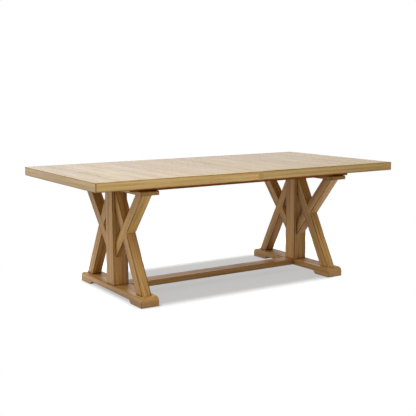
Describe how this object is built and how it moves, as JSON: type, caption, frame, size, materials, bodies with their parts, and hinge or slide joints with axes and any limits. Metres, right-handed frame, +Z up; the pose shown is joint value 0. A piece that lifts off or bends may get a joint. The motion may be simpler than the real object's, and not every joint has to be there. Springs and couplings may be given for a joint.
{
  "type": "trestle dining table",
  "caption": "Extending trestle dining table: boarded top in two sliding halves over cross-braced post trestles joined by a low stretcher, kept in step by a rack and pinion.",
  "frame": {"origin": "on the floor under the middle of the closed table", "axes": "+X along the table's length, +Y from front to back, +Z up"},
  "size_m": [2.2, 1.1, 0.775],
  "materials": {
    "top_oak": "satin lacquered oak boards, wheat brown",
    "edge_oak": "satin lacquered oak lipping, honey brown",
    "base_oak": "satin lacquered oak, honey brown with darker glaze",
    "slide_beech": "waxed beech, stained red brown",
    "zinc_steel": "zinc plated",
    "nylon": "moulded nylon, natural"
  },
  "bodies": {
    "base": {"back_bearer": "slide_beech", "bearer_bolts": "zinc_steel", "floor_glides": "nylon", "front_bearer": "slide_beech", "gear_bridge": "slide_beech", "left_back_falling_brace": "base_oak", "left_back_rising_brace": "base_oak", "left_cap": "base_oak", "left_foot": "base_oak", "left_front_falling_brace": "base_oak", "left_front_rising_brace": "base_oak", "left_post": "base_oak", "pinion_pivot": "zinc_steel", "right_back_falling_brace": "base_oak", "right_back_rising_brace": "base_oak", "right_cap": "base_oak", "right_foot": "base_oak", "right_front_falling_brace": "base_oak", "right_front_rising_brace": "base_oak", "right_post": "base_oak", "stretcher": "base_oak", "stretcher_screws": "zinc_steel"},
    "right_top": {"right_back_lipping": "edge_oak", "right_back_runner": "slide_beech", "right_board_1": "top_oak", "right_board_2": "top_oak", "right_board_3": "top_oak", "right_board_4": "top_oak", "right_board_5": "top_oak", "right_board_6": "top_oak", "right_board_7": "top_oak", "right_board_8": "top_oak", "right_end_lipping": "edge_oak", "right_front_lipping": "edge_oak", "right_front_runner": "slide_beech", "right_rack": "slide_beech", "right_seam_rail": "edge_oak", "seam_pins": "slide_beech", "keeper_plates": "zinc_steel"},
    "left_top": {"left_back_lipping": "edge_oak", "left_back_runner": "slide_beech", "left_board_1": "top_oak", "left_board_2": "top_oak", "left_board_3": "top_oak", "left_board_4": "top_oak", "left_board_5": "top_oak", "left_board_6": "top_oak", "left_board_7": "top_oak", "left_board_8": "top_oak", "left_end_lipping": "edge_oak", "left_front_lipping": "edge_oak", "left_front_runner": "slide_beech", "left_rack": "slide_beech", "left_seam_rail": "edge_oak", "lock_plates": "zinc_steel"},
    "pinion": {"pinion": "nylon"},
    "front_hook": {"front_hook": "zinc_steel"},
    "back_hook": {"back_hook": "zinc_steel"}
  },
  "joints": [
    {"name": "right_top_slide", "type": "slide", "parent": "base", "child": "right_top", "axis": [1, 0, 0], "range_m": [0, 0.25]},
    {"name": "left_top_slide", "type": "slide", "parent": "base", "child": "left_top", "axis": [-1, 0, 0], "range_m": [0, 0.25]},
    {"name": "pinion_spin", "type": "hinge", "parent": "base", "child": "pinion", "pos_m": [0, 0, 0.725], "axis": [0, 0, 1], "range_deg": [0, 480]},
    {"name": "front_hook_turn", "type": "hinge", "parent": "left_top", "child": "front_hook", "pos_m": [-0.028, -0.2, 0.7415], "axis": [0, 0, 1], "range_deg": [0, 90]},
    {"name": "back_hook_turn", "type": "hinge", "parent": "left_top", "child": "back_hook", "pos_m": [-0.028, 0.2, 0.7415], "axis": [0, 0, 1], "range_deg": [0, 90]}
  ],
  "couplings": [
    {"joint": "left_top_slide", "follows": "right_top_slide", "ratio": 1},
    {"joint": "pinion_spin", "follows": "right_top_slide", "rad_per_m": 33.333}
  ]
}
